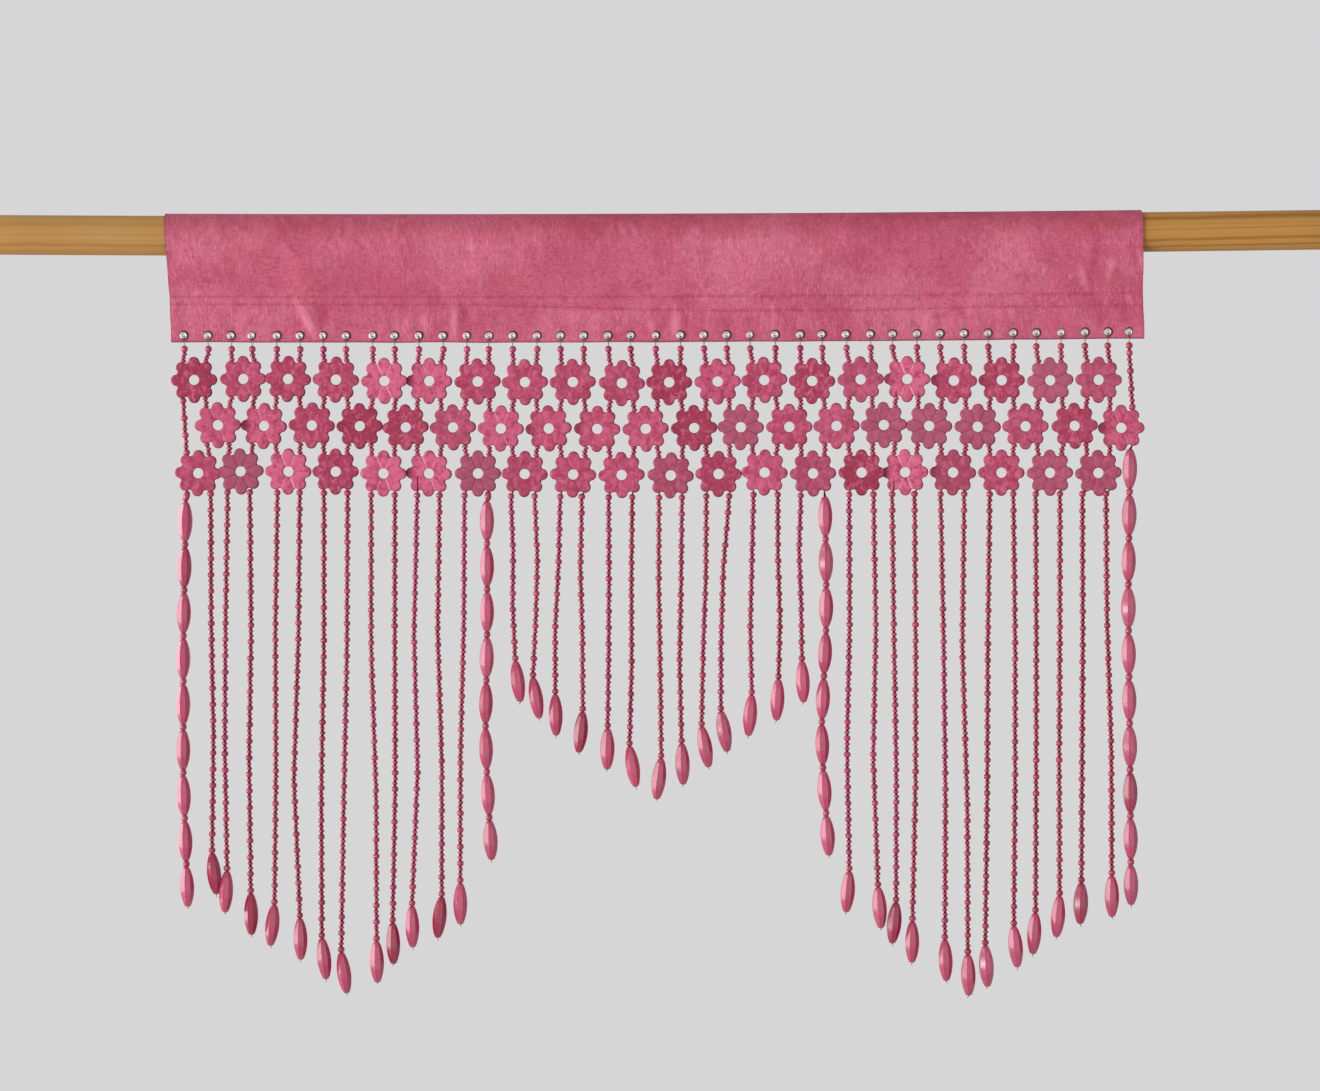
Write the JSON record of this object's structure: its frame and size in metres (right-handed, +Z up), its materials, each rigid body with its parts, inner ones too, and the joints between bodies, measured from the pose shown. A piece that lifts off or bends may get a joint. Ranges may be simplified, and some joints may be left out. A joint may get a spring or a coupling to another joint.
{
  "type": "beaded valance on a pole",
  "caption": "Rod-pocket fabric band on a round wooden pole, with eyelets, staggered rows of flower discs and bead strings ending in oval drops along a pointed hemline.",
  "frame": {"origin": "centre of the pole's left end face", "axes": "+X along the pole to its right end, the valance faces -Y, +Z up"},
  "size_m": [1.11, 0.036, 0.6342],
  "materials": {
    "pine": "clear satin pine dowel",
    "rose_cotton": "matte hand-dyed cotton",
    "bright_steel": "polished eyelet",
    "rose_beads": "glossy moulded plastic"
  },
  "bodies": {
    "root": {"pole": "pine", "band": "rose_cotton", "eyelet_01": "bright_steel", "eyelet_02": "bright_steel", "eyelet_03": "bright_steel", "eyelet_04": "bright_steel", "eyelet_05": "bright_steel", "eyelet_06": "bright_steel", "eyelet_07": "bright_steel", "eyelet_08": "bright_steel", "eyelet_09": "bright_steel", "eyelet_10": "bright_steel", "eyelet_11": "bright_steel", "eyelet_12": "bright_steel", "eyelet_13": "bright_steel", "eyelet_14": "bright_steel", "eyelet_15": "bright_steel", "eyelet_16": "bright_steel", "eyelet_17": "bright_steel", "eyelet_18": "bright_steel", "eyelet_19": "bright_steel", "eyelet_20": "bright_steel", "eyelet_21": "bright_steel", "eyelet_22": "bright_steel", "eyelet_23": "bright_steel", "eyelet_24": "bright_steel", "eyelet_25": "bright_steel", "eyelet_26": "bright_steel", "eyelet_27": "bright_steel", "eyelet_28": "bright_steel", "eyelet_29": "bright_steel", "eyelet_30": "bright_steel", "eyelet_31": "bright_steel", "eyelet_32": "bright_steel", "eyelet_33": "bright_steel", "eyelet_34": "bright_steel", "eyelet_35": "bright_steel", "eyelet_36": "bright_steel", "eyelet_37": "bright_steel", "eyelet_38": "bright_steel", "eyelet_39": "bright_steel", "eyelet_40": "bright_steel", "eyelet_41": "bright_steel", "bead_curtain": "rose_beads"}
  },
  "joints": []
}
